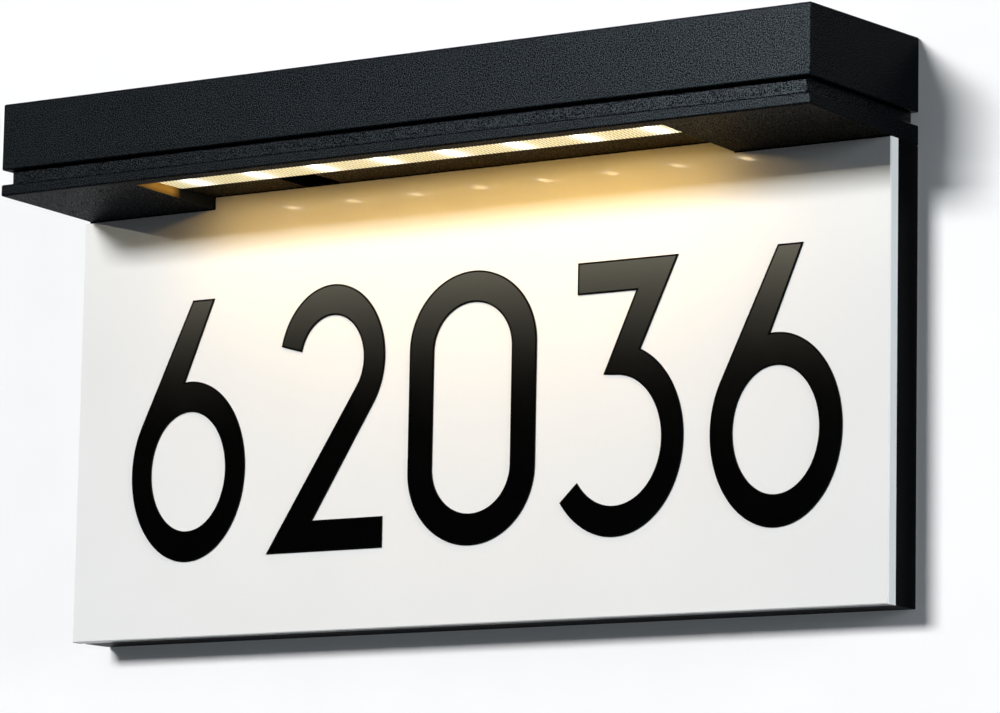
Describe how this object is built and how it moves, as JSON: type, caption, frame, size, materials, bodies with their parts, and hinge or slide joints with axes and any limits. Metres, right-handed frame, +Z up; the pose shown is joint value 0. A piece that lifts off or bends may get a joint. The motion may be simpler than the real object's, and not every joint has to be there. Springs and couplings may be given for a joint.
{
  "type": "illuminated house number sign",
  "caption": "Wall sign: a dark oblong lamp hood over a flat white number plaque, with a light strip in the hood's underside that shines down on the black numerals.",
  "frame": {"origin": "on the wall plane, midway between the wall bracket's two screw holes", "axes": "+X along the sign, +Y from the front into the wall, +Z up"},
  "size_m": [0.3632, 0.075, 0.2039],
  "materials": {
    "cell_wrap": "shrink wrap",
    "chip_black": "moulded",
    "circuit_board": "solder mask",
    "foam_tape": "foam",
    "hood_plastic": "fine textured",
    "led_board_white": "white solder mask",
    "led_phosphor": "yellow phosphor",
    "lens_opal": "translucent, warm white",
    "numeral_black": "vinyl film",
    "pan_plastic": "satin",
    "plaque_white": "polished acrylic",
    "plug_white": "moulded",
    "rail_steel": "galvanised sheet",
    "screw_steel": "zinc plated",
    "seal_rubber": "matt",
    "solar_glass": "dark cells under glass",
    "tray_plastic": "satin",
    "wire_black": "insulation",
    "wire_red": "insulation"
  },
  "bodies": {
    "wall_bracket": {"wall_bracket": "rail_steel"},
    "sign": {"top_cover": "hood_plastic", "solar_panel": "solar_glass", "solar_panel_tape": "foam_tape", "hood_tray": "tray_plastic", "tray_gasket": "seal_rubber", "bottom_plate": "hood_plastic", "light_lens": "lens_opal", "lens_seal": "seal_rubber", "led_board": "led_board_white", "led_chips": "led_phosphor", "led_board_screws": "screw_steel", "button_seal": "seal_rubber", "tact_switch": "chip_black", "control_board": "circuit_board", "board_chips": "chip_black", "board_plugs": "plug_white", "board_screws": "screw_steel", "battery_cradle": "tray_plastic", "battery_cells": "cell_wrap", "battery_contacts": "screw_steel", "cradle_screws": "screw_steel", "solar_wire": "wire_red", "battery_wire": "wire_red", "led_wire": "wire_black", "back_pan": "pan_plastic", "plaque": "plaque_white", "plaque_tapes": "foam_tape", "hanger_rail": "rail_steel", "rail_screws": "screw_steel", "hood_front_screws": "screw_steel", "hood_back_screws": "screw_steel", "plate_screws": "screw_steel", "numeral_1": "numeral_black", "numeral_2": "numeral_black", "numeral_3": "numeral_black", "numeral_4": "numeral_black", "numeral_5": "numeral_black"},
    "mode_button": {"mode_button": "tray_plastic", "switch_plunger": "plug_white"}
  },
  "joints": [
    {"name": "lift_off", "type": "slide", "parent": "wall_bracket", "child": "sign", "axis": [0, 0, 1], "range_m": [0, 0.008]},
    {"name": "mode_button_press", "type": "slide", "parent": "sign", "child": "mode_button", "axis": [0, 0, 1], "range_m": [0, 0.0008], "stiffness_N_per_m": 800}
  ]
}
